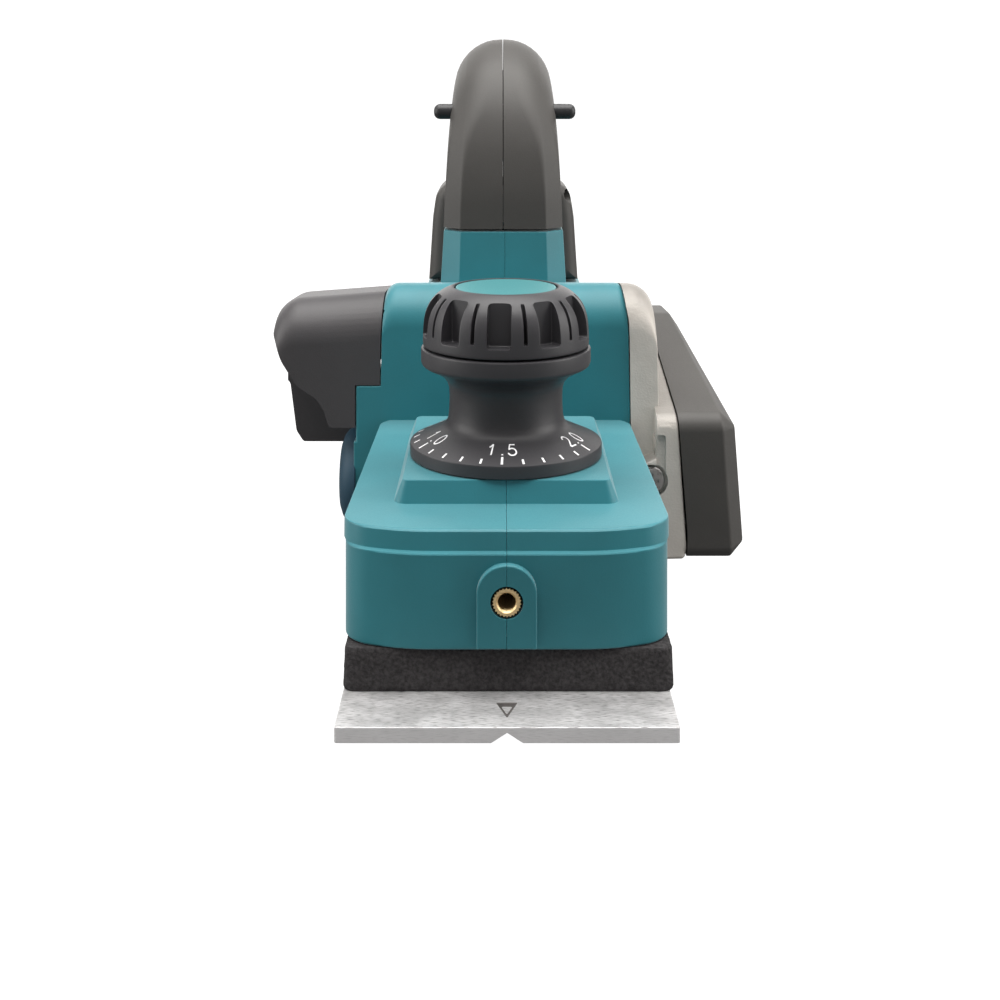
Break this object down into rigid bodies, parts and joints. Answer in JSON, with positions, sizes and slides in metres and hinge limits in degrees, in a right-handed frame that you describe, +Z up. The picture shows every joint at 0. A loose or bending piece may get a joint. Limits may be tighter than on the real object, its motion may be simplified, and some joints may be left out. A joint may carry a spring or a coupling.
{
  "type": "electric hand planer",
  "caption": "Battery hand planer with adjustable front sole, belt-driven cutter drum, closed rear handle and side chip outlet.",
  "frame": {"origin": "on the rear sole plane, on the tool's centre line, 60 mm behind the cutter drum's axis", "axes": "+Z up, the nose (front sole) towards -Y, the belt cover side towards +X, the chip outlet towards -X"},
  "size_m": [0.1544, 0.333, 0.1732],
  "materials": {
    "teal_shell": "fine grained",
    "teal_trim": "satin",
    "grey_shell": "fine grained",
    "dark_plastic": "satin",
    "black_plastic": "satin",
    "foam": "open cell",
    "cast_aluminium": "as cast",
    "milled_aluminium": "brushed",
    "steel": "ground",
    "brass": "machined",
    "windings": "lacquered",
    "belt_rubber": "matt",
    "board": "coated"
  },
  "bodies": {
    "housing": {"housing_left": "teal_shell", "housing_right": "teal_shell", "drum_bearing_cap": "teal_shell", "edge_guide_insert": "brass", "grip_left": "grey_shell", "grip_right": "grey_shell", "grip_screw_1": "steel", "grip_screw_2": "steel", "grip_screw_3": "steel", "switch_unit": "black_plastic", "control_board": "board", "battery_terminal": "black_plastic", "side_frame": "cast_aluminium", "side_frame_screw": "steel", "belt_cover": "grey_shell", "belt_cover_screw_1": "steel", "belt_cover_screw_2": "steel", "belt_cover_screw_3": "steel", "chip_nozzle": "dark_plastic", "foam_seal": "foam", "depth_spring": "steel", "rear_base": "milled_aluminium", "rear_base_screw_1": "steel", "rear_base_screw_2": "steel", "foot_pin": "steel", "motor_stator": "windings", "drum_bearing_left": "steel", "drum_bearing_right": "steel", "motor_bearing_left": "steel", "motor_bearing_right": "steel", "drive_belt": "belt_rubber"},
    "front_base": {"front_base": "milled_aluminium", "guide_pin_left": "steel", "guide_pin_right": "steel"},
    "depth_knob": {"knob_dial": "dark_plastic", "knob_grip": "dark_plastic", "knob_cap": "teal_trim", "depth_screw": "steel"},
    "cutter_drum": {"cutter_drum": "cast_aluminium", "blade_1": "steel", "blade_2": "steel", "blade_clamp_1": "cast_aluminium", "blade_clamp_2": "cast_aluminium", "clamp_screw_1": "steel", "clamp_screw_2": "steel", "clamp_screw_3": "steel", "clamp_screw_4": "steel", "drum_pulley": "steel", "drum_pulley_nut": "steel"},
    "rotor": {"motor_rotor": "steel", "cooling_fan": "black_plastic", "motor_pulley": "steel"},
    "trigger": {"trigger": "dark_plastic"},
    "lock_off_bar": {"lock_off_bar": "dark_plastic"},
    "battery": {"battery_case": "dark_plastic", "battery_back": "grey_shell"},
    "battery_button": {"battery_button": "teal_shell"},
    "parking_foot": {"parking_foot": "dark_plastic"}
  },
  "joints": [
    {"name": "depth_knob_turn", "type": "hinge", "parent": "housing", "child": "depth_knob", "pos_m": [0, -0.136, 0.06], "axis": [0, 0, -1], "range_deg": [-192.86, 64.29]},
    {"name": "front_base_lift", "type": "slide", "parent": "housing", "child": "front_base", "axis": [0, 0, 1], "range_m": [-0.00151, 0.00051], "deforming": ["foam_seal", "depth_spring"]},
    {"name": "cutter_drum_spin", "type": "hinge", "parent": "housing", "child": "cutter_drum", "pos_m": [0, -0.06, 0.0235], "axis": [1, 0, 0], "continuous": true},
    {"name": "rotor_spin", "type": "hinge", "parent": "housing", "child": "rotor", "pos_m": [0, 0.004, 0.05], "axis": [1, 0, 0], "continuous": true},
    {"name": "trigger_pull", "type": "hinge", "parent": "housing", "child": "trigger", "pos_m": [0, -0.018, 0.143], "axis": [1, 0, 0], "range_deg": [0, 12], "stiffness_Nm_per_rad": 0.1},
    {"name": "lock_off_push", "type": "slide", "parent": "housing", "child": "lock_off_bar", "axis": [1, 0, 0], "range_m": [-0.004, 0.004], "stiffness_N_per_m": 50},
    {"name": "battery_slide", "type": "slide", "parent": "housing", "child": "battery", "axis": [0, 0, 1], "range_m": [0, 0.09]},
    {"name": "battery_button_press", "type": "slide", "parent": "battery", "child": "battery_button", "axis": [0, 0, -1], "range_m": [0, 0.003]},
    {"name": "parking_foot_swing", "type": "hinge", "parent": "housing", "child": "parking_foot", "pos_m": [0.024, 0.052, 0.0126], "axis": [-1, 0, 0], "range_deg": [0, 32]}
  ],
  "couplings": [
    {"joint": "front_base_lift", "follows": "depth_knob_turn", "m_per_rad": 0.00044563},
    {"joint": "rotor_spin", "follows": "cutter_drum_spin", "ratio": 1.3077}
  ]
}
